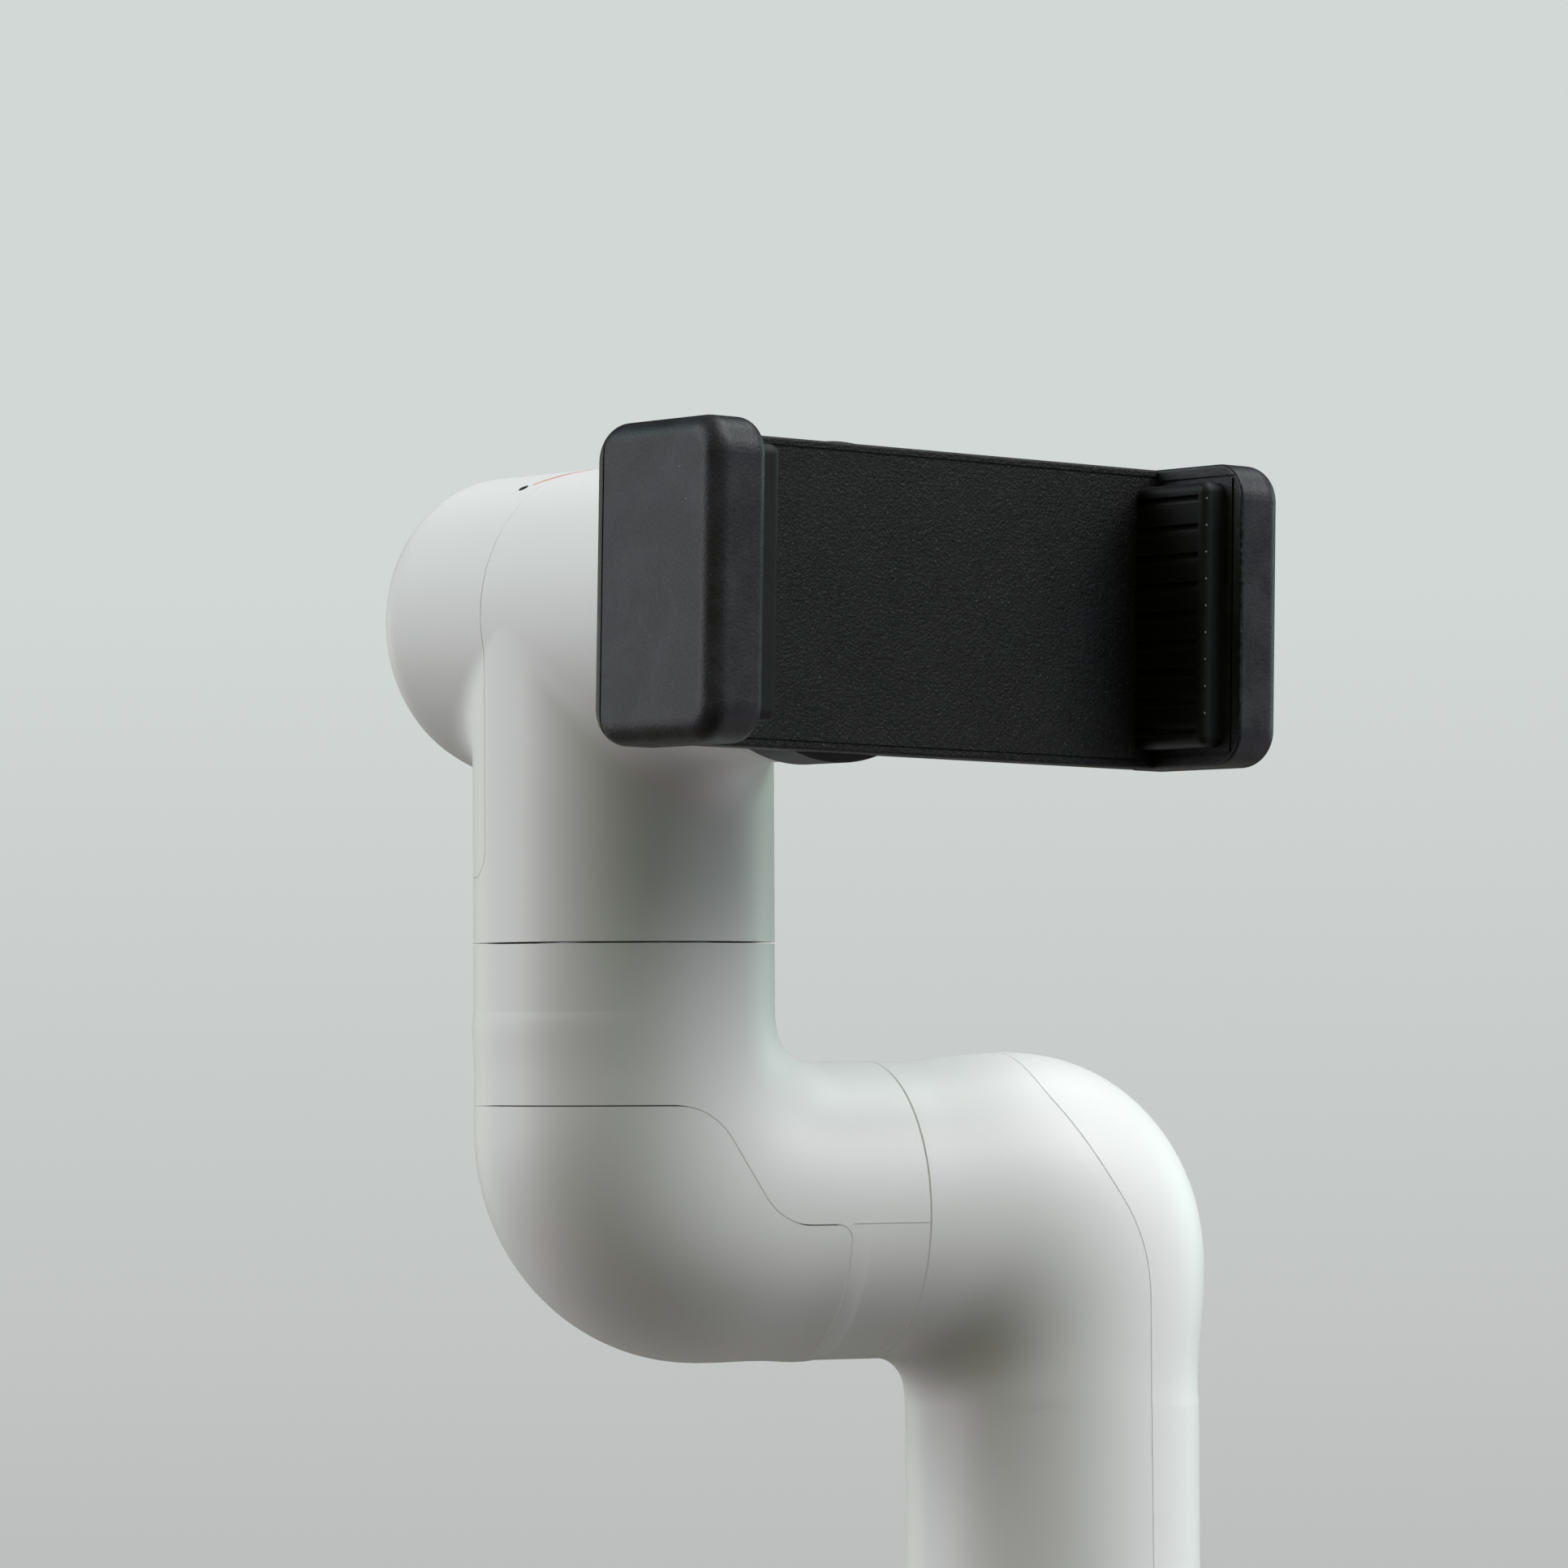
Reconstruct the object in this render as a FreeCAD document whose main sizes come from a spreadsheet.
# Desktop six-axis tubular camera arm with a phone clamp.
#
# Frame: origin at the centre of the base's underside, on the vertical axis of
# joint 1; +Z up; joints 2, 3 and 4 turn about axes parallel to X; the clamp
# faces -Y, which is the front. Every link is a round tube that turns a right
# angle at each end, so the joint axes step sideways: the turret and the
# forearm stand on the base axis, the upper arm one step to +X and the wrist
# one step to -X.
import FreeCAD, Part
import math
import os

App = FreeCAD
V = App.Vector
doc = App.newDocument("tube_arm")

# ---------------------------------------------------------------- dimensions
DIMS = [
    ("tube_rad", 22.5, "outer radius of every tube"),
    ("tube_wall", 2.2, "moulded wall"),
    ("bend_outer", 34.0, "outer corner radius of an elbow"),
    ("high_swell", 3.0, "swell of the forearm's upper elbow"),
    ("bend_pivot", 30.0, "pivot of the elbow sections from both tube axes"),
    ("seam_half", 0.15, "half of the gap at a joint seam"),
    ("cover_gap", 0.2, "gap around a snap-on cover"),
    ("web_thick", 3.0, "end wall of a link that carries the horn"),
    ("base_top", 66.0, "height of the joint 1 seam"),
    ("shoulder_up", 150.0, "height of the joint 2 axis"),
    ("elbow_up", 280.0, "height of the joint 3 axis"),
    ("wrist_up", 400.0, "height of the joint 4 axis"),
    ("side_step", 71.3, "sideways step of the upper arm and of the wrist"),
    ("seam_step", 35.65, "joint 2 and 3 seam plane from the base axis"),
    ("wrist_seam", 31.5, "joint 4 seam plane from the forearm axis"),
    ("turn_rise", 40.2, "joint 5 seam above the joint 4 axis"),
    ("tool_rise", 88.8, "joint 6 axis above the joint 4 axis"),
    ("head_rad", 22.6, "radius of the head barrel"),
    ("head_back", 34.0, "barrel back end from the wrist axis"),
    ("head_front", 39.0, "joint 6 seam from the wrist axis"),
    ("head_fillet", 8.0, "fillet between barrel and tube"),
    ("servo_wide", 28.0, "servo body width"),
    ("servo_deep", 23.0, "servo body depth"),
    ("servo_long", 25.0, "servo body length"),
    ("servo_short", 20.0, "length of the wrist bend servo"),
    ("servo_sink", 10.0, "servo face below the seam plane"),
    ("servo_face", 2.5, "thickness of the round servo face"),
    ("horn_rad", 12.95, "horn boss radius"),
    ("bearing_bore", 13.0, "bearing inner radius"),
    ("bearing_rad", 20.25, "bearing outer radius"),
    ("shaft_rad", 3.0, "servo output shaft radius"),
    ("shaft_clear", 0.05, "running clearance of the shaft"),
    ("screw_rad", 1.2, "horn screw radius"),
    ("screw_hole", 1.25, "horn screw hole radius"),
    ("screw_circle", 8.0, "horn screw circle radius"),
    ("screw_head", 2.2, "horn screw head radius"),
    ("flange_seat", 1.5, "screw head seat of the tool flange from the seam plane"),
    ("plate_rad", 64.0, "base plate radius"),
    ("plate_thick", 6.0, "base plate thickness"),
    ("pad_thick", 2.0, "rubber pad under the plate"),
    ("bolt_circle", 57.0, "radius of the base bolt circle"),
    ("bolt_hole", 2.75, "base bolt hole radius"),
    ("post_circle", 43.3, "radius of the circle of screw posts in the base"),
    ("base_rad", 50.0, "base housing radius"),
    ("base_wall", 3.0, "base housing wall"),
    ("button_rad", 7.0, "power button radius"),
    ("button_bore", 7.05, "power button bore radius"),
    ("button_up", 27.0, "height of the power button axis"),
    ("clamp_half", 22.4, "half of the clamp's height"),
    ("fixed_half", 22.2, "half of the fixed jaw's height"),
    ("slide_half", 22.75, "half of the sliding jaw's height"),
    ("adapter_back", 42.5, "adapter back from the wrist axis"),
    ("clamp_back", 51.3, "clamp back from the wrist axis"),
    ("tray_front", 57.4, "clamp housing front from the wrist axis"),
    ("plate_face", 59.06, "clamp plate face from the wrist axis"),
    ("jaw_front", 78.0, "jaw front from the wrist axis"),
    ("jaw_back", 49.4, "jaw back from the wrist axis"),
    ("fixed_thick", 8.3, "fixed jaw thickness"),
    ("slide_thick", 10.0, "sliding jaw thickness"),
    ("fixed_lip", 0.5, "edge radius around the fixed jaw's inner face"),
    ("slide_lip", 2.4, "edge radius around the sliding jaw's inner face"),
    ("left_end", 43.6, "outer face of the sliding jaw from the joint 6 axis"),
    ("right_end", 62.3, "outer face of the fixed jaw from the joint 6 axis"),
    ("jaw_corner", 5.5, "corner radius of a jaw seen from its side"),
    ("jaw_edge", 3.2, "edge radius around a jaw's outer face"),
    ("fixed_pad", 3.8, "fixed jaw pad thickness"),
    ("slide_pad", 5.0, "sliding jaw pad thickness"),
    ("pad_half", 19.4, "half of a jaw pad's height"),
    ("pad_front", 74.1, "jaw pad front from the wrist axis"),
    ("rib_pitch", 4.2, "pitch of the pad grooves"),
    ("adapter_rad", 23.2, "adapter disc radius"),
    ("flange_rad", 22.6, "turning tool flange radius"),
    ("cable_rad", 2.0, "cable radius"),
]
HEAD_TURN = 13.24     # joint 5 at rest, degrees about the vertical
CLAMP_ROLL = 1.33     # joint 6 at rest, degrees about the clamp axis

sheet = doc.addObject("Spreadsheet::Sheet", "dims")
SIZE = {}             # the same dimensions as numbers
for row, (alias, value, words) in enumerate(DIMS, 1):
    sheet.set(f"A{row}", words)
    sheet.set(f"B{row}", f"{value:g}")
    sheet.setAlias(f"B{row}", alias)
    SIZE[alias] = value
doc.recompute()

# Expressions that recur
TUBE = "dims.tube_rad"
TUBE_INNER = "(dims.tube_rad - dims.tube_wall)"
PIVOT = "dims.bend_pivot"
GAP = "dims.seam_half"
WEB = "dims.web_thick"
STEP = "dims.side_step"
SEAM = "dims.seam_step"
WRIST_SEAM = "dims.wrist_seam"
BASE_TOP = "dims.base_top"
SHOULDER = "dims.shoulder_up"
ELBOW = "dims.elbow_up"
WRIST = "dims.wrist_up"

# Rotations that take local +Z to each direction
TURNS = {
    "+z": App.Rotation(),
    "+x": App.Rotation(V(0, 1, 0), 90),
    "-x": App.Rotation(V(0, 1, 0), -90),
    "-y": App.Rotation(V(1, 0, 0), 90),
}
# Unit directions in the XZ plane, as (x, z)
WAYS = {"+x": (1, 0), "-x": (-1, 0), "+z": (0, 1), "-z": (0, -1)}


# ------------------------------------------------------------------- helpers
def bind(obj, **props):
    for prop, expr in props.items():
        obj.setExpression(prop, str(expr))


def put(obj, at, rot=None):
    """Bind a position to the sheet and set the rotation."""
    obj.Placement = App.Placement(V(0, 0, 0), rot or App.Rotation())
    for axis, expr in zip("xyz", at):
        obj.setExpression("Placement.Base." + axis, str(expr))
    return obj


def cyl(name, radius, length, at=(0, 0, 0), way="+z"):
    o = doc.addObject("Part::Cylinder", name)
    bind(o, Radius=radius, Height=length)
    return put(o, at, TURNS[way])


def box(name, size, at):
    o = doc.addObject("Part::Box", name)
    bind(o, Length=size[0], Width=size[1], Height=size[2])
    return put(o, at)


def fuse(name, *parts):
    o = doc.addObject("Part::MultiFuse", name)
    o.Shapes = list(parts)
    o.Refine = True
    return o


def cut(name, base, tool):
    o = doc.addObject("Part::Cut", name)
    o.Base = base
    o.Tool = tool
    return o


def common(name, first, second):
    o = doc.addObject("Part::MultiCommon", name)
    o.Shapes = [first, second]
    return o


def together(name, *parts):
    """Several shapes as one, without joining their faces."""
    o = doc.addObject("Part::Compound", name)
    o.Links = list(parts)
    return o


NODES = []            # the pieces to export


def node(obj, label):
    obj.Label = label
    NODES.append(obj)


def placed_node(source, label, at, rot):
    """A piece placed from a shape modelled in a frame of its own."""
    node(put(together(label + "_placed", source), at, rot), label)


def lies_at(edge, axis, at, slack=1e-4):
    """True if the whole edge lies in the plane axis = at."""
    bounds = edge.BoundBox
    return (abs(getattr(bounds, axis + "Min") - at) < slack
            and abs(getattr(bounds, axis + "Max") - at) < slack)


def round_edges(name, base, radius, chosen):
    """Fillet on the edges of base for which chosen(edge) is true."""
    doc.recompute()
    o = doc.addObject("Part::Fillet", name)
    o.Base = base
    o.Edges = [(i, radius, radius) for i, edge in enumerate(base.Shape.Edges, 1)
               if chosen(edge)]
    return o


def diagonal_spots(radius):
    """Four (x, y) places on a circle, at 45 degrees and each quarter turn."""
    spots = []
    for i in range(4):
        angle = math.radians(45 + 90 * i)
        spots.append((f"{radius} * {math.cos(angle):.9f}", f"{radius} * {math.sin(angle):.9f}"))
    return spots


def cyl_ring(name, circle, radius, length, z):
    """Four upright cylinders on the diagonals of a circle."""
    return [cyl(f"{name}{i}", radius, length, (x, y, z))
            for i, (x, y) in enumerate(diagonal_spots(circle))]


def rounded(corners):
    """Lines and arcs of a closed polygon given as (a, b, corner radius)."""
    spots = [V(a, b, 0) for a, b, _ in corners]
    count = len(corners)
    bends = []        # where each corner starts, where it ends, and its arc
    for i, (_, _, radius) in enumerate(corners):
        corner = spots[i]
        if radius <= 0:
            bends.append((corner, corner, None))
            continue
        back = spots[i - 1] - corner
        ahead = spots[(i + 1) % count] - corner
        back.normalize()
        ahead.normalize()
        angle = math.acos(max(-1, min(1, back.dot(ahead))))
        trim = radius / math.tan(angle / 2)
        start = corner + back * trim
        end = corner + ahead * trim
        inward = back + ahead
        inward.normalize()
        centre = corner + inward * (radius / math.sin(angle / 2))
        bends.append((start, end, Part.Arc(start, centre - inward * radius, end)))
    curves = []
    for i, (_, end, arc) in enumerate(bends):
        if arc:
            curves.append(arc)
        following = bends[(i + 1) % count][0]
        if (following - end).Length > 1e-6:
            curves.append(Part.LineSegment(end, following))
    return curves


def body_sketch(body, name, plane, curves):
    """Sketch on one of a body's origin planes."""
    sketch = body.newObject("Sketcher::SketchObject", name)
    support = [f for f in body.Origin.OriginFeatures if f.Role == plane][0]
    sketch.AttachmentSupport = (support, [""])
    sketch.MapMode = "FlatFace"
    for curve in curves:
        sketch.addGeometry(curve, False)
    return sketch


# -------------------------------------------------------------- link outlines
COVER_EDGE = 27       # reach of an elbow cover along its collar leg
# Outlines of the covers seen along Y, as (x, z, corner radius). The elbow
# cover is measured from the elbow's corner: it wraps the outer bend, ends in
# a ring on one leg and in a rounded edge on the other.
ELBOW_COVER = [
    (-32, 16.3, 0), (4.5, 16.3, 11), (15.5, -1.5, 9),
    (COVER_EDGE, -1.5, 2.5), (COVER_EDGE, -32, 0), (-32, -32, 0)]
# The forearm's rear cover, measured from the forearm axis and joint 4
REAR_COVER = [
    (-9.5, 40, 0), (-9.5, 19, 14), (5.5, -5, 26), (6, -84, 3), (40, -84, 0), (40, 40, 0)]
COVER_REACH = 40      # half depth of the tools that part a cover
OVERCUT = 2           # how far a hollow runs past an open seam


def outline(name, points, x, z, flip_x=1, flip_z=1):
    """Sketch in the XZ plane of a rounded outline placed about x, z."""
    sketch = doc.addObject("Sketcher::SketchObject", name)
    for curve in rounded([(x + flip_x * a, z + flip_z * b, radius) for a, b, radius in points]):
        sketch.addGeometry(curve, False)
    sketch.Placement = App.Placement(V(0, 0, 0), App.Rotation(V(1, 0, 0), 90))
    return sketch


def prism(name, source):
    """Solid of an outline, both ways along Y."""
    o = doc.addObject("Part::Extrusion", name)
    o.Base = source
    o.DirMode = "Custom"
    o.Dir = V(0, 1, 0)
    o.LengthFwd = COVER_REACH
    o.LengthRev = COVER_REACH
    o.Solid = True
    return o


def inset(name, source):
    """Outline moved inwards by the cover gap, with sharp corners."""
    o = doc.addObject("Part::Offset2D", name)
    o.Source = source
    bind(o, Value="-dims.cover_gap")
    o.Join = 2
    return o


# --------------------------------------------------------------- tube pieces
def bend(name, hollow, x, z, way_a, way_b, swollen=False):
    """Right-angle elbow as a loft of ellipses about a pivot on its inside.

    x, z: where the two tube axes meet. way_a, way_b: directions of the legs.
    hollow: the inside of the wall. swollen: the outside bulges on the diagonal.
    """
    wall = "dims.tube_wall" if hollow else "0"
    swell, steps = ("dims.high_swell", 6) if swollen and not hollow else ("0", 12)
    radius = f"(dims.tube_rad - {wall})"
    corner = f"(dims.bend_outer - {wall})"
    # Centre of the outer corner arc, from the pivot along either leg
    arc = f"({PIVOT} - ({corner} - {radius}))"
    radius_now = SIZE["tube_rad"] - (SIZE["tube_wall"] if hollow else 0)
    arc_now = SIZE["bend_pivot"] - SIZE["bend_outer"] + SIZE["tube_rad"]
    arc_start = math.degrees(math.atan2(arc_now, SIZE["bend_pivot"] + radius_now))
    ax, az = WAYS[way_a]
    bx, bz = WAYS[way_b]
    sections = []
    for i in range(steps + 1):
        angle = 90.0 * i / steps
        c, s = math.cos(math.radians(angle)), math.sin(math.radians(angle))
        # Distance from the pivot to the outside of the elbow
        if angle <= arc_start or angle >= 90 - arc_start:
            reach = f"(({PIVOT} + {radius}) / {max(c, s):.12f})"
        else:
            reach = (f"({arc} * {c + s:.12f} + sqrt({arc} * {arc} * {(c + s) ** 2:.12f}"
                     f" + {corner} * {corner} - 2 * {arc} * {arc}))")
        reach = f"({reach} + {swell} * {math.sin(math.radians(2 * angle)) ** 2:.12f})"
        near = f"({PIVOT} - {radius})"
        ellipse = doc.addObject("Part::Ellipse", f"{name}_section{i}")
        # The tiny excess keeps the major radius from falling below the minor
        bind(ellipse, MajorRadius=f"(({reach} - {near}) / 2) + 0.000001", MinorRadius=radius)
        outward = V(-(c * bx + s * ax), 0, -(c * bz + s * az))
        normal = V(s * bx - c * ax, 0, s * bz - c * az)
        side = normal.cross(outward)
        frame = App.Matrix(outward.x, side.x, normal.x, 0,
                           outward.y, side.y, normal.y, 0,
                           outward.z, side.z, normal.z, 0,
                           0, 0, 0, 1)
        middle = f"(({reach} + {near}) / 2)"
        put(ellipse,
            (f"{x} + {PIVOT} * {ax + bx:g} + {middle} * ({outward.x:.12f})",
             0,
             f"{z} + {PIVOT} * {az + bz:g} + {middle} * ({outward.z:.12f})"),
            App.Placement(frame).Rotation)
        sections.append(ellipse)
    o = doc.addObject("Part::Loft", name)
    o.Sections = sections
    o.Solid = True
    o.Ruled = False
    return o


def leg(name, hollow, kind, x, z, way, reach):
    """Straight tube piece measured along way from the point x, z.

    kind: "riser" starts with a web at a seam at x, z and ends at reach;
    "span" joins two elbows; "web" and "open" run from an elbow to the seam
    at reach, closed by a web or left open.
    """
    start, end = PIVOT, reach
    if kind == "riser":
        start = f"{GAP} + {WEB}" if hollow else GAP
    elif kind != "span":
        if not hollow:
            end = f"{reach} - {GAP}"
        elif kind == "web":
            end = f"{reach} - {GAP} - {WEB}"
        else:
            end = f"{reach} + {OVERCUT}"
    along_x, along_z = WAYS[way]
    return cyl(name, TUBE_INNER if hollow else TUBE, f"({end}) - ({start})",
               (f"{x} + ({start}) * {along_x}", 0, f"{z} + ({start}) * {along_z}"), way)


def web_holes(name, at, rot):
    """Four horn screw holes and the cable hole, along local +Z through a web."""
    long, start = 10, -2
    holes = cyl_ring(name + "_hole", "dims.screw_circle", "dims.screw_hole", long, start)
    holes.append(cyl(name + "_cable_hole", 4, long, (0, 0, start)))
    return put(together(name + "_holes", *holes), at, rot)


def tube_link(label, pieces, seam, way, covers, grooves=None):
    """Hollow link parted into a housing and its covers.

    pieces: legs and bends in order along the tube. seam, way: place and
    direction of the web. covers: label, then the arguments of its outline.
    """
    solids = {}
    for side, hollow in (("outer", False), ("inner", True)):
        parts = []
        for i, (kind, *place) in enumerate(pieces):
            name = f"{label}_{side}{i}"
            if kind == "bend":
                parts.append(bend(name, hollow, *place))
            else:
                parts.append(leg(name, hollow, kind, *place))
        solids[side] = fuse(f"{label}_{side}", *parts)
    shell = cut(label + "_shell", solids["outer"], solids["inner"])
    if grooves:
        shell = cut(label + "_grooved", shell, grooves)
    shell = cut(label + "_drilled", shell, web_holes(label, seam, TURNS[way]))

    sketches = [outline(f"{label}_{cover}_outline", *place) for cover, *place in covers]
    tools = [prism(f"{label}_part_tool{i}", s) for i, s in enumerate(sketches)]
    tool = tools[0] if len(tools) == 1 else together(label + "_part_tools", *tools)
    node(cut(label + "_parted", shell, tool), label + "_housing")
    for (cover, *_), sketch in zip(covers, sketches):
        name = f"{label}_{cover}"
        keep = prism(name + "_keep", inset(name + "_inset", sketch))
        node(common(name + "_kept", shell, keep), name)


# -------------------------------------------------------------- the four links
shoulder_z, elbow_z, wrist_z = SIZE["shoulder_up"], SIZE["elbow_up"], SIZE["wrist_up"]
step_x = SIZE["side_step"]

tube_link(
    "turret",
    [("riser", "0", BASE_TOP, "+z", f"{SHOULDER} - {BASE_TOP} - {PIVOT}"),
     ("bend", "0", SHOULDER, "-z", "+x"),
     ("open", "0", SHOULDER, "+x", SEAM)],
    (0, 0, BASE_TOP), "+z",
    [("cover", ELBOW_COVER, 0, shoulder_z, 1, -1)])

tube_link(
    "upper_arm",
    [("web", STEP, SHOULDER, "-x", f"{STEP} - {SEAM}"),
     ("bend", STEP, SHOULDER, "-x", "+z"),
     ("span", STEP, SHOULDER, "+z", f"{ELBOW} - {SHOULDER} - {PIVOT}"),
     ("bend", STEP, ELBOW, "-z", "-x"),
     ("open", STEP, ELBOW, "-x", f"{STEP} - {SEAM}")],
    (SEAM, 0, SHOULDER), "+x",
    [("lower_cover", ELBOW_COVER, step_x, shoulder_z, -1, 1),
     ("upper_cover", ELBOW_COVER, step_x, elbow_z, -1, -1)])

tube_link(
    "forearm",
    [("web", "0", ELBOW, "+x", SEAM),
     ("bend", "0", ELBOW, "+x", "+z"),
     ("span", "0", ELBOW, "+z", f"{WRIST} - {ELBOW} - {PIVOT}"),
     ("bend", "0", WRIST, "-z", "-x", True),
     ("open", "0", WRIST, "-x", WRIST_SEAM)],
    (SEAM, 0, ELBOW), "-x",
    [("lower_cover", ELBOW_COVER, 0, elbow_z),
     ("rear_cover", REAR_COVER, 0, wrist_z)])

# Parting grooves of the wrist collar, from the cover's corner to the joint 4
# seam, on the front and the back of the tube
GROOVE_WIDE = 1.6
GROOVE_INNER = 22.2   # inner side of a groove from the tube axis
collar_grooves = together("collar_grooves", *[
    box(f"collar_groove{i}",
        (f"{STEP} - {WRIST_SEAM} - {COVER_EDGE}", GROOVE_WIDE, 0.25),
        (f"{COVER_EDGE} - {STEP}", y, f"{WRIST} - 1.65"))
    for i, y in enumerate((-GROOVE_INNER - GROOVE_WIDE, GROOVE_INNER))])
tube_link(
    "wrist",
    [("web", "-" + STEP, WRIST, "+x", f"{STEP} - {WRIST_SEAM}"),
     ("bend", "-" + STEP, WRIST, "+x", "+z"),
     ("open", "-" + STEP, WRIST, "+z", "dims.turn_rise")],
    ("-" + WRIST_SEAM, 0, WRIST), "-x",
    [("cover", ELBOW_COVER, -step_x, wrist_z)],
    collar_grooves)

# --------------------------------------------------------------------- head
# Modelled about the wrist axis with the barrel along Y, then turned.
HEAD_PLACE = (("-" + STEP, 0, WRIST), App.Rotation(V(0, 0, 1), HEAD_TURN))
END_ROUND = 7.0       # radius around the barrel's back end
ROOM_ROUND = 5.0      # the same on the inside
END_WALL = 2.5        # thickness of the barrel's back end
PARTING_Y = 5         # front face of the back cover
PARTING_Z = 49.9      # lower edge of the back cover
PARTING_ROUND = 4.5


def solid_feature(name, shape):
    o = doc.addObject("Part::Feature", name)
    o.Shape = shape
    return o


def edges_at_y(shape, y):
    return [edge for edge in shape.Edges if lies_at(edge, "Y", y, 1e-3)]


def head_outside():
    """Barrel and stem; the fillets need the edges of the joined solid."""
    rise, axis_up, back = SIZE["turn_rise"], SIZE["tool_rise"], SIZE["head_back"]
    gap = SIZE["seam_half"]
    barrel = Part.makeCylinder(SIZE["head_rad"], back + SIZE["head_front"] - gap,
                               V(0, back, axis_up), V(0, -1, 0))
    stem = Part.makeCylinder(SIZE["tube_rad"], axis_up - rise - gap,
                             V(0, 0, rise + gap), V(0, 0, 1))
    tee = barrel.fuse(stem)
    crotch = [e for e in tee.Edges
              if e.BoundBox.ZLength > 1
              and e.BoundBox.ZMin > rise + 5
              and e.BoundBox.ZMax < axis_up + 5]
    tee = tee.makeFillet(SIZE["head_fillet"], crotch)
    return tee.makeFillet(END_ROUND, edges_at_y(tee, back))


def head_inside():
    """Room in the barrel, open at the front, and in the stem above its web."""
    wall, axis_up = SIZE["tube_wall"], SIZE["tool_rise"]
    back = SIZE["head_back"] - END_WALL
    overrun = 2.0     # past the front end
    room = Part.makeCylinder(SIZE["head_rad"] - wall, back + SIZE["head_front"] + overrun,
                             V(0, back, axis_up), V(0, -1, 0))
    room = room.makeFillet(ROOM_ROUND, edges_at_y(room, back))
    floor = SIZE["turn_rise"] + SIZE["seam_half"] + SIZE["web_thick"]
    return room.fuse(Part.makeCylinder(SIZE["tube_rad"] - wall, axis_up - floor,
                                       V(0, 0, floor), V(0, 0, 1)))


def back_tool(name, gap, radius):
    """Block that takes the back cover out of the head, its lower front edge rounded."""
    block = box(name + "_block", (80, 55, 80),
                (-40, f"{PARTING_Y} + {gap}", f"{PARTING_Z} + {gap}"))
    return round_edges(name, block, radius,
                       lambda edge: edge.BoundBox.YMax < PARTING_Y + 1
                       and edge.BoundBox.ZMax < PARTING_Z + 1)


head_shell = cut("head_shell", solid_feature("head_outer", head_outside()),
                 solid_feature("head_inner", head_inside()))
head_drilled = cut("head_drilled", head_shell,
                   web_holes("head", (0, 0, "dims.turn_rise"), TURNS["+z"]))
head_part = back_tool("head_part_tool", "0", PARTING_ROUND)
head_keep = back_tool("head_keep_tool", "dims.cover_gap", PARTING_ROUND - SIZE["cover_gap"])
placed_node(cut("head_front_part", head_drilled, head_part), "head_housing", *HEAD_PLACE)
placed_node(common("head_back_part", head_drilled, head_keep), "head_back_cover", *HEAD_PLACE)
head_disc = cyl("head_disc", "dims.head_rad - dims.tube_wall", 1.6,
                (0, 15.6, "dims.tool_rise"), "-y")
head_chip = box("head_chip", (8, 2, 8), (-4, 15.5, "dims.tool_rise + 2"))
placed_node(fuse("head_disc_chip", head_disc, head_chip), "head_board", *HEAD_PLACE)

# ------------------------------------------------------------- joint stacks
# Each is modelled along +Z, from the fixed link through the seam plane at
# z = 0 into the moving link.
BEARING_LOW = -8.5
BEARING_HIGH = 6
RACE_DEEP = 0.6       # ring groove in the bearing's upper face
RACE_RADII = (18, 15.2)
HORN_LOW = -8.7
SHAFT_LOW = -16
SHAFT_LONG = 7.3
WEB_SEAT = f"{GAP} + {WEB}"     # horn screw heads sit on the far side of a web


def servo(label, long):
    """Servo body with a round face, a low boss and a shaft bore."""
    face_low = "-dims.servo_sink - dims.servo_face"
    body = box(label + "_body",
               ("dims.servo_wide", "dims.servo_deep", f"{long} - dims.servo_face"),
               ("-dims.servo_wide / 2", "-dims.servo_deep / 2", f"-dims.servo_sink - {long}"))
    face = cyl(label + "_face", 20.2, "dims.servo_face", (0, 0, face_low))
    boss = cyl(label + "_boss", 9, 1.0, (0, 0, "-dims.servo_sink"))
    bore = cyl(label + "_bore", "dims.shaft_rad + dims.shaft_clear", 8,
               (0, 0, SHAFT_LOW - 0.5))
    return cut(label + "_bored", fuse(label + "_servo_solid", body, face, boss), bore)


def bearing(label):
    """Bearing ring with a shallow groove in its upper face."""
    ring = cyl(label + "_ring", "dims.bearing_rad", BEARING_HIGH, (0, 0, BEARING_LOW))
    bore = cyl(label + "_ring_bore", "dims.bearing_bore", BEARING_HIGH + 2,
               (0, 0, BEARING_LOW - 1))
    race_low = BEARING_LOW + BEARING_HIGH - RACE_DEEP
    race = cut(label + "_race",
               cyl(label + "_race_outer", RACE_RADII[0], RACE_DEEP, (0, 0, race_low)),
               cyl(label + "_race_core", RACE_RADII[1], 1, (0, 0, race_low - 0.2)))
    return cut(label + "_ring_cut", ring, together(label + "_ring_tools", bore, race))


def horn(label):
    """Horn boss with its shaft below and four screw holes."""
    boss = cyl(label + "_horn_boss", "dims.horn_rad", f"{-HORN_LOW} + {GAP}",
               (0, 0, HORN_LOW))
    shaft = cyl(label + "_shaft", "dims.shaft_rad", SHAFT_LONG, (0, 0, SHAFT_LOW))
    holes = cyl_ring(label + "_horn_hole", "dims.screw_circle", "dims.screw_hole", 8, -6)
    return cut(label + "_horn_cut", fuse(label + "_horn_solid", boss, shaft),
               together(label + "_horn_holes", *holes))


def horn_screws(label, seat):
    """Four screws with their heads on the seat height."""
    reach = 5         # screw below the seam plane
    shanks = cyl_ring(label + "_shank", "dims.screw_circle", "dims.screw_rad",
                      f"{seat} + {reach}", -reach)
    heads = cyl_ring(label + "_screw_head", "dims.screw_circle", "dims.screw_head", 1.8, seat)
    return together(label + "_screws", *[
        fuse(f"{label}_screw{i}", *pair) for i, pair in enumerate(zip(shanks, heads))])


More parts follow.
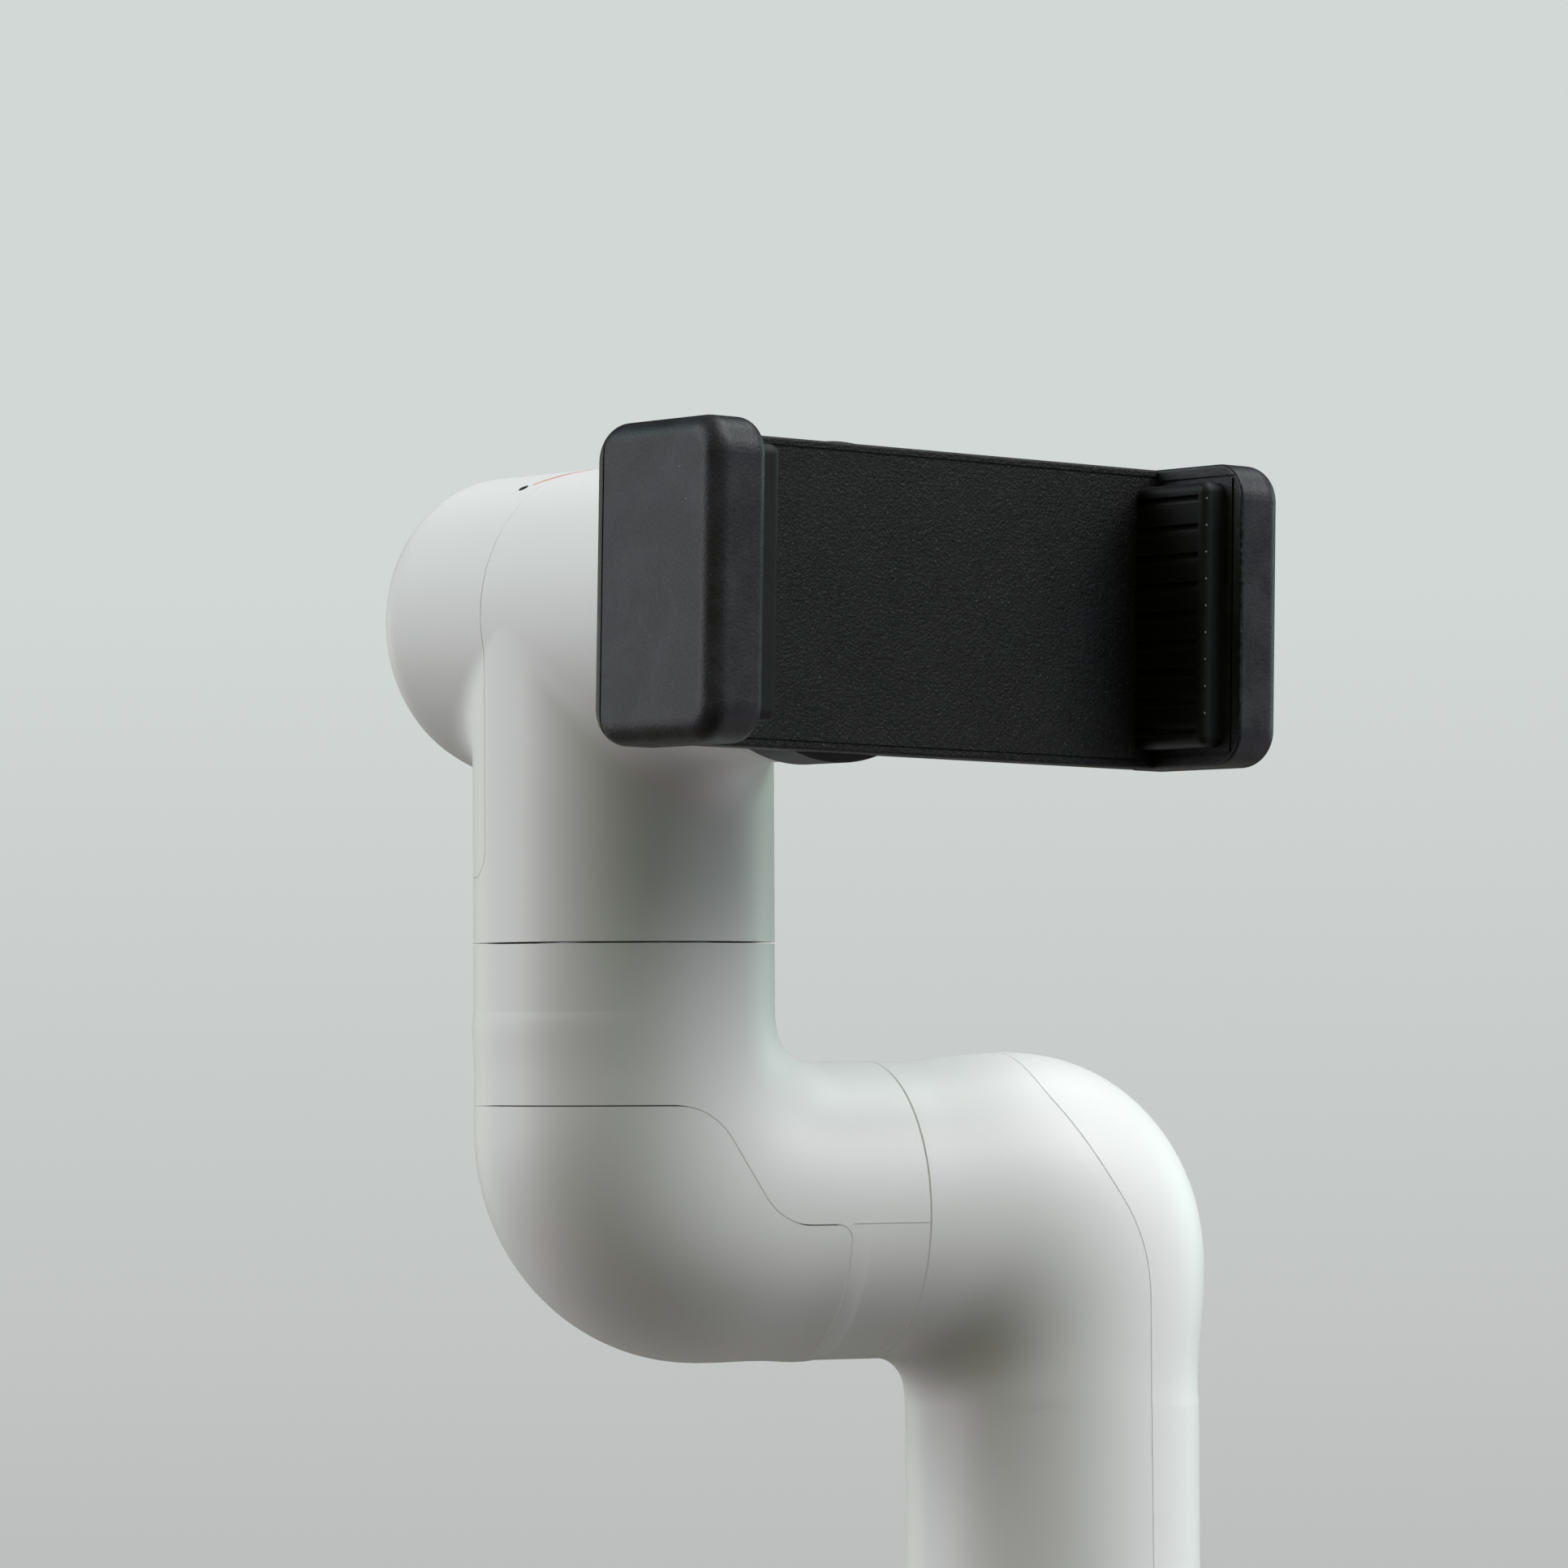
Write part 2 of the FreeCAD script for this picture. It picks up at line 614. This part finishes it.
def joint_parts(label, at, rot, moved=None, long="dims.servo_long", seat=WEB_SEAT):
    """Servo and bearing in the fixed link, horn and screws in the moving one."""
    placed_node(servo(label, long), label + "_servo", at, rot)
    placed_node(bearing(label), label + "_bearing", at, rot)
    placed_node(horn(label), label + "_horn", at, moved or rot)
    placed_node(horn_screws(label, seat), label + "_horn_screws", at, moved or rot)


turn = App.Rotation(V(0, 0, 1), HEAD_TURN)
turn_sin = math.sin(math.radians(HEAD_TURN))
turn_cos = math.cos(math.radians(HEAD_TURN))
TOOL_UP = f"{WRIST} + dims.tool_rise"
TOOL_SEAM = (f"-{STEP} + dims.head_front * {turn_sin:.12f}",
             f"-dims.head_front * {turn_cos:.12f}",
             TOOL_UP)
joint_parts("base_turn", (0, 0, BASE_TOP), TURNS["+z"])
joint_parts("shoulder", (SEAM, 0, SHOULDER), TURNS["+x"])
joint_parts("elbow", (SEAM, 0, ELBOW), TURNS["-x"])
joint_parts("wrist_bend", ("-" + WRIST_SEAM, 0, WRIST), TURNS["-x"], long="dims.servo_short")
joint_parts("wrist_turn", ("-" + STEP, 0, f"{WRIST} + dims.turn_rise"), TURNS["+z"], moved=turn)
joint_parts("tool", TOOL_SEAM, turn.multiply(TURNS["-y"]), seat="dims.flange_seat")

# ------------------------------------------------------------ clamp mounting
# Modelled about the wrist axis: X along the clamp, -Y towards the phone,
# Z across; the joint 6 axis runs through the origin along -Y.
CLAMP_PLACE = (("-" + STEP, 0, TOOL_UP),
               turn.multiply(App.Rotation(V(0, 1, 0), CLAMP_ROLL)))
MOUNT_HOLE = 3.2      # radius of the central hole in the adapter and the tray

flange_seam = (0, "-dims.head_front", 0)
flange_disc = cyl("flange_disc", "dims.flange_rad",
                  f"dims.adapter_back - dims.head_front - {GAP}",
                  (0, f"-dims.head_front - {GAP}", 0), "-y")
counterbores = together("flange_bores", *cyl_ring(
    "flange_bore", "dims.screw_circle", "dims.screw_head + 0.1", 4, "dims.flange_seat"))
flange_tools = together("flange_tools",
                        web_holes("flange", flange_seam, TURNS["-y"]),
                        put(counterbores, flange_seam, TURNS["-y"]))
placed_node(cut("flange_cut", flange_disc, flange_tools), "tool_flange",
            ("-" + STEP, 0, TOOL_UP), turn)

adapter_disc = cyl("adapter_disc", "dims.adapter_rad", "dims.clamp_back - dims.adapter_back",
                   (0, "-dims.adapter_back", 0), "-y")
adapter_tools = together("adapter_tools",
                         cyl("adapter_hole", MOUNT_HOLE, 12, (0, -42, 0), "-y"),
                         cyl("adapter_bore", 5.1, 3.0, (0, -42, 0), "-y"))
placed_node(cut("adapter_cut", adapter_disc, adapter_tools), "clamp_adapter", *CLAMP_PLACE)
mount_screw = fuse("mount_screw",
                   cyl("mount_shank", 3.1, 8.4, (0, -44.3, 0), "-y"),
                   cyl("mount_head", 5.0, 2.2, (0, -42.6, 0), "-y"))
placed_node(mount_screw, "clamp_screw", *CLAMP_PLACE)

# --------------------------------------------------------------- clamp jaws
# Inner faces of the jaws: distances from the joint 6 axis, then x
FIXED_FACE = "(dims.right_end - dims.fixed_thick)"
SLIDE_FACE = "(dims.left_end - dims.slide_thick)"
fixed_x = SIZE["right_end"] - SIZE["fixed_thick"]
slide_x = SIZE["slide_thick"] - SIZE["left_end"]


def jaw_block(name, side, thick, half, lip):
    """Jaw slab padded along side * X, soft around its outer and inner rims."""
    body = doc.addObject("PartDesign::Body", name + "_body")
    front, back = -SIZE["jaw_front"], -SIZE["jaw_back"]
    high, corner = SIZE[half], SIZE["jaw_corner"]
    sketch = body_sketch(body, name + "_sketch", "YZ_Plane", rounded(
        [(front, -high, corner), (back, -high, corner),
         (back, high, corner), (front, high, corner)]))
    base = body.newObject("PartDesign::Pad", name + "_slab")
    base.Profile = sketch
    bind(base, Length="dims." + thick)
    base.Reversed = side < 0
    doc.recompute()
    for rim, at, radius in (("outer", side * SIZE[thick], "jaw_edge"), ("inner", 0.0, lip)):
        names = [f"Edge{i}" for i, edge in enumerate(base.Shape.Edges, 1)
                 if lies_at(edge, "X", at)]
        fillet = body.newObject("PartDesign::Fillet", f"{name}_{rim}")
        fillet.Base = (base, names)
        bind(fillet, Radius="dims." + radius)
        body.Tip = fillet
        doc.recompute()
        base = fillet
    return body


def groove_ring(name, axis, at, wide, low, high, deep):
    """Rectangular ring groove: a slab across the axis less its own core.

    low, high: corners of the slab in its other two axes.
    """
    def slab(tag, start, thick, shrink):
        size = [f"{b - a - 2 * shrink:g}" for a, b in zip(low, high)]
        corner = [f"{a + shrink:g}" for a in low]
        place = "xy".index(axis)
        size.insert(place, thick)
        corner.insert(place, start)
        return box(f"{name}_{tag}", size, corner)

    return cut(name, slab("slab", at, wide, 0),
               slab("core", f"{at} - 1", f"{wide} + 2", deep))


def parting_line(name, left, right, half):
    """Line around a jaw just ahead of its back, cut from 1 mm outside it."""
    out = 1
    return groove_ring(name, "y", -52.7, 0.3, (left - out, -half - out),
                       (right + out, half + out), out + 0.95)


def jaw_pad(name, left, grip_x, side, thick):
    """Rubber pad on a jaw's inner face, grooved across its gripping side.

    left: its lowest x. grip_x: its gripping face. side: sign of the jaw's x.
    """
    front = -SIZE["pad_front"]
    block = box(name + "_block",
                (thick, "dims.pad_front - dims.plate_face - 0.2", "2 * dims.pad_half"),
                (left, "-dims.pad_front", "-dims.pad_half"))

    def chosen(edge):
        on_grip, on_front = lies_at(edge, "X", grip_x), lies_at(edge, "Y", front)
        return ((on_grip and on_front)
                or (on_front and edge.BoundBox.XLength > 1)
                or (on_grip and edge.BoundBox.YLength > 5))

    soft = round_edges(name + "_soft", block, 1.5, chosen)
    grooves = [cyl(f"{name}_groove{i}", 0.75, "dims.pad_front - 51.5",
                   (f"{grip_x - 0.15 * side:g}", -50, f"dims.rib_pitch * {i}"), "-y")
               for i in range(-4, 5)]
    return cut(name + "_grooved", soft, together(name + "_grooves", *grooves))


# ------------------------------------------------- clamp housing, fixed jaw
END_GAP = 0.1         # housing and front plate from the sliding jaw
TRAY_INSET = 0.5      # housing below the clamp's full half height
PLATE_INSET = 0.25    # front plate likewise
POCKET_HIGH = 5.2
POCKET_LOW = 15.4     # near side of a pocket from the clamp's middle

fixed_raw = jaw_block("fixed_block", 1, "fixed_thick", "fixed_half", "fixed_lip")
put(fixed_raw, (FIXED_FACE, 0, 0))
fixed_jaw = cut("fixed_lined", fixed_raw, together(
    "fixed_lines",
    # moulded step around the pad
    groove_ring("fixed_step", "x", FIXED_FACE + " - 0.3", 0.65,
                (-76.1, -20.5), (-60.0, 20.5), 0.45),
    parting_line("fixed_parting", fixed_x, SIZE["right_end"], SIZE["fixed_half"])))
tray = box("tray_block",
           (f"{FIXED_FACE} + 2 + {SLIDE_FACE} - {END_GAP}",
            "dims.tray_front - dims.clamp_back",
            f"2 * (dims.clamp_half - {TRAY_INSET})"),
           (f"{END_GAP} - {SLIDE_FACE}", "-dims.tray_front",
            f"-(dims.clamp_half - {TRAY_INSET})"))
tray_tools = together(
    "tray_tools",
    box("tray_channel", (90, 3.4, 28), (-40, -56.4, -14)),
    cyl("tray_hole", MOUNT_HOLE, 3, (0, -50.5, 0), "-y"),
    # pockets above and below the tongue channel
    *[box(f"tray_pocket{i}", (70, 4.6, POCKET_HIGH), (-25, "-dims.tray_front", z))
      for i, z in enumerate((POCKET_LOW, -POCKET_LOW - POCKET_HIGH))])
placed_node(fuse("tray_full", cut("tray_cut", tray, tray_tools), fixed_jaw),
            "clamp_housing", *CLAMP_PLACE)

# -------------------------------------------------------- clamp front plate
LINE_WIDE = 0.3
LINE_INSET = 1.3      # outer side of each line from the clamp's full half height
plate_block = box("front_block",
                  (f"{FIXED_FACE} + {SLIDE_FACE} - {END_GAP}",
                   "dims.plate_face - dims.tray_front",
                   f"2 * (dims.clamp_half - {PLATE_INSET})"),
                  (f"{END_GAP} - {SLIDE_FACE}", "-dims.plate_face",
                   f"-(dims.clamp_half - {PLATE_INSET})"))
plate_soft = round_edges("front_soft", plate_block, 0.45,
                         lambda edge: lies_at(edge, "Y", -SIZE["plate_face"])
                         and edge.BoundBox.XLength > 20)
plate_lines = [box(f"front_line{i}", (120, 0.6, LINE_WIDE), (-50, "-dims.plate_face - 0.4", z))
               for i, z in enumerate((f"dims.clamp_half - {LINE_INSET} - {LINE_WIDE}",
                                      f"-dims.clamp_half + {LINE_INSET}"))]
placed_node(cut("front_lined", plate_soft, together("front_lines", *plate_lines)),
            "clamp_front_plate", *CLAMP_PLACE)

# -------------------------------------------- sliding jaw, pads and springs
SPRING_UP = 8         # springs and tongue holes from the clamp's middle

slider_raw = jaw_block("slider_block", -1, "slide_thick", "slide_half", "slide_lip")
put(slider_raw, ("-" + SLIDE_FACE, 0, 0))
slider = cut("slider_lined", slider_raw, parting_line(
    "slider_parting", -SIZE["left_end"], slide_x, SIZE["slide_half"]))
tongue = box("tongue_block", (56, 3.0, 27.8), (-38, -56.2, -13.9))
tongue_tools = together(
    "tongue_tools",
    box("tongue_slot", (36, 5, 4.4), (-22, -57, -2.2)),
    *[cyl(f"tongue_hole{i}", 0.8, 6, (15.5, -52, z), "-y")
      for i, z in enumerate((SPRING_UP, -SPRING_UP))])
placed_node(fuse("slider_full", slider, cut("tongue_cut", tongue, tongue_tools)),
            "sliding_jaw", *CLAMP_PLACE)

placed_node(jaw_pad("right_pad", FIXED_FACE + " - dims.fixed_pad",
                    fixed_x - SIZE["fixed_pad"], 1, "dims.fixed_pad"),
            "fixed_jaw_pad", *CLAMP_PLACE)
placed_node(jaw_pad("left_pad", "-" + SLIDE_FACE,
                    slide_x + SIZE["slide_pad"], -1, "dims.slide_pad"),
            "sliding_jaw_pad", *CLAMP_PLACE)


def spring(name, z):
    """Coil of round wire along X."""
    coil_rad = 1.1
    path = doc.addObject("Part::Helix", name + "_path")
    path.Pitch = 1.5
    path.Height = 30
    path.Radius = coil_rad
    doc.recompute()
    wire = doc.addObject("Part::Circle", name + "_wire")
    wire.Radius = 0.28
    wire.Placement = App.Placement(V(coil_rad, 0, 0), App.Rotation(V(1, 0, 0), 90))
    coil = doc.addObject("Part::Sweep", name)
    coil.Sections = [wire]
    coil.Spine = (path, ["Edge1"])
    coil.Solid = True
    coil.Frenet = True
    return put(coil, (18.4, -54.7, z), TURNS["+x"])


placed_node(together("coils", spring("upper_coil", SPRING_UP), spring("lower_coil", -SPRING_UP)),
            "clamp_springs", *CLAMP_PLACE)

# ------------------------------------------------------------- base housing
FLOOR = SIZE["pad_thick"] + SIZE["plate_thick"]     # top of the base plate
STAND_HIGH = 6.0
BOARD_LOW = FLOOR + STAND_HIGH
BOARD_THICK = 1.6
BOARD_TOP = BOARD_LOW + BOARD_THICK
POST_HOLE = 1.5       # screw hole radius in the posts and the plate


def base_shell():
    """Turned housing: a drum that necks in to the joint 1 tube."""
    outer, tube = SIZE["base_rad"], SIZE["tube_rad"]
    inner, bore = outer - SIZE["base_wall"], tube - SIZE["tube_wall"]
    top = SIZE["base_top"] - SIZE["seam_half"]
    body = doc.addObject("PartDesign::Body", "base_body")
    # (radius, height, corner radius)
    sketch = body_sketch(body, "base_profile", "XZ_Plane", rounded(
        [(inner, FLOOR, 0), (outer, FLOOR, 0), (outer, 46, 9), (tube, 52, 5),
         (tube, top, 0), (bore, top, 0), (bore, 49.6, 3), (inner, 43.4, 6)]))
    turned = body.newObject("PartDesign::Revolution", "base_turned")
    turned.Profile = sketch
    turned.ReferenceAxis = (sketch, ["V_Axis"])
    turned.Angle = 360
    body.Tip = turned
    doc.recompute()
    return body


base_posts = cyl_ring("base_post", "dims.post_circle", 4, 12, FLOOR)
post_holes = cyl_ring("post_hole", "dims.post_circle", POST_HOLE, 12.5, 6)
base_tools = together(
    "base_tools",
    together("post_holes", *post_holes),
    cyl("button_hole", "dims.button_bore", 12, (0, -42, "dims.button_up"), "-y"),
    box("usb_window", (9.3, 12, 3.6), (-10.65, 42, 15.5)),
    box("jack_window", (9.5, 16, 9.3), (9.75, 38, 15.5)))
node(cut("base_housing_cut", fuse("base_solid", base_shell(), *base_posts), base_tools),
     "base_housing")

base_shanks = cyl_ring("base_shank", "dims.post_circle", 1.45, 12.5, 4.4)
base_heads = cyl_ring("base_head", "dims.post_circle", 2.8, 2.3, 2.1)
node(together("base_screw_set", *[
    fuse(f"base_screw{i}", *pair) for i, pair in enumerate(zip(base_shanks, base_heads))]),
    "base_screws")


# ------------------------------------------------------- base plate and pad
def base_disc():
    """Plate with four bolt holes and a soft top rim."""
    body = doc.addObject("PartDesign::Body", "plate_body")
    disc = body.newObject("PartDesign::Pad", "plate_disc")
    disc.Profile = body_sketch(body, "plate_sketch", "XY_Plane",
                               [Part.Circle(V(0, 0, 0), V(0, 0, 1), SIZE["plate_rad"])])
    bind(disc, Length="dims.plate_thick")
    doc.recompute()
    spot = body_sketch(body, "plate_hole_sketch", "XY_Plane", [
        Part.Circle(V(SIZE["bolt_circle"], 0, 0), V(0, 0, 1), SIZE["bolt_hole"])])
    hole = body.newObject("PartDesign::Pocket", "plate_hole")
    hole.Profile = spot
    hole.Type = "ThroughAll"
    hole.Midplane = True
    doc.recompute()
    # Guards against a pocket that runs away from the plate and cuts nothing
    if disc.Shape.Volume - hole.Shape.Volume < 50:
        hole.Reversed = True
        doc.recompute()
    pattern = body.newObject("PartDesign::PolarPattern", "plate_holes")
    pattern.Originals = [hole]
    pattern.Axis = (spot, ["N_Axis"])
    pattern.Angle = 360
    pattern.Occurrences = 4
    body.Tip = pattern
    doc.recompute()
    assert disc.Shape.Volume - pattern.Shape.Volume > 400, "bolt holes missing"
    rim = [f"Edge{i}" for i, edge in enumerate(pattern.Shape.Edges, 1)
           if lies_at(edge, "Z", SIZE["plate_thick"]) and edge.Length > 300]
    soft = body.newObject("PartDesign::Fillet", "plate_rim")
    soft.Base = (pattern, rim)
    soft.Radius = 2.0
    body.Tip = soft
    return put(body, (0, 0, "dims.pad_thick"))


stands = [cyl("board_stand", 2.6, STAND_HIGH, (x, y, FLOOR)) for y in (-30, 30) for x in (-20, 20)]
plate_tools = together(
    "plate_tools",
    *cyl_ring("plate_screw_hole", "dims.post_circle", POST_HOLE, 10, 1),
    *cyl_ring("plate_counterbore", "dims.post_circle", 2.9, 2.5, 1.95))
node(cut("plate_cut", fuse("plate_full", base_disc(), *stands), plate_tools), "base_plate")

rubber_holes = [cyl("rubber_hole", "dims.bolt_hole", 4,
                    (f"dims.bolt_circle * {x}", f"dims.bolt_circle * {y}", -1))
                for x, y in ((1, 0), (0, 1), (-1, 0), (0, -1))]
node(cut("rubber_cut", cyl("rubber_disc", 63, "dims.pad_thick"),
         together("rubber_holes", *rubber_holes)), "base_rubber_pad")

# -------------------------------------------------------- base electronics
node(fuse("board_solid",
          box("board_sheet", (50, 76, BOARD_THICK), (-25, -38, BOARD_LOW)),
          box("board_chip_a", (14, 14, 1.4), (-7, -10, BOARD_TOP)),
          box("board_chip_b", (9, 9, 1.2), (11, -20, BOARD_TOP)),
          cyl("board_can_a", 4, 9, (-16, 8, BOARD_TOP)),
          cyl("board_can_b", 4, 9, (-16, -4, BOARD_TOP)),
          box("board_plug", (12, 6, 7), (-6, 12, BOARD_TOP))),
     "control_board")

node(cut("usb_cut",
         box("usb_block", (9, 17.5, 3.3), (-10.5, 31.3, BOARD_TOP)),
         box("usb_mouth", (8.2, 7, 2.5), (-10.1, 43, 16.0))),
     "usb_port")

JACK_X, JACK_Z = 14.5, 20.1     # axis of the power jack
jack_cut = cut("jack_cut",
               box("jack_block", (9.2, 17, 9), (9.9, 30.5, BOARD_TOP)),
               cyl("jack_mouth", 3.2, 9, (JACK_X, 50, JACK_Z), "-y"))
jack_full = fuse("jack_full", jack_cut,
                 cyl("jack_pin", 1, 8.5, (JACK_X, 49.5, JACK_Z), "-y"))
# trims the pin's end flush with the block
node(cut("jack_trimmed", jack_full, box("jack_trim", (12, 6, 12), (8, 47.5, 15))),
     "power_jack")

BUTTON_BACK = -44.3
BUTTON_LONG = 7.7
button_at = (0, BUTTON_BACK, "dims.button_up")
button = fuse("button_solid",
              cyl("button_cap", "dims.button_rad", BUTTON_LONG, button_at, "-y"),
              cyl("button_lip", 8.6, 1.4, button_at, "-y"))
node(round_edges("button_soft", button, 0.8,
                 lambda edge: lies_at(edge, "Y", BUTTON_BACK - BUTTON_LONG)),
     "power_button")
node(fuse("switch_solid",
          box("switch_block", (8, 6, 15), (-4, -42, BOARD_TOP)),
          cyl("switch_nub", 2, 0.9, (0, -42, "dims.button_up"), "-y")),
     "power_switch")

# Upright cables inside the tubes: (link, length, x, z of the lower end)
CABLES = [
    ("turret", 54, -17, f"{BASE_TOP} + 6"),
    ("upper_arm", 86, f"{STEP} + 17", f"{SHOULDER} + 22"),
    ("forearm", 84, 16, f"{ELBOW} + 20"),
]
for link, length, x, z in CABLES:
    node(cyl(link + "_wire", "dims.cable_rad", length, (x, 0, z)), link + "_cable")

# ------------------------------------------------------------ check and write
doc.recompute()
bad = [f"{o.Name}: {o.State}" for o in doc.Objects
       if any(word in ("Invalid", "Error") for word in o.State)]
for o in NODES:
    shape = o.Shape
    if shape.isNull() or not shape.isValid() or not shape.Solids:
        bad.append(f"{o.Label}: bad shape")
if bad:
    raise RuntimeError("; ".join(bad))
os.makedirs("parts", exist_ok=True)
for o in NODES:
    o.Shape.exportStep(f"parts/{o.Label}.step")
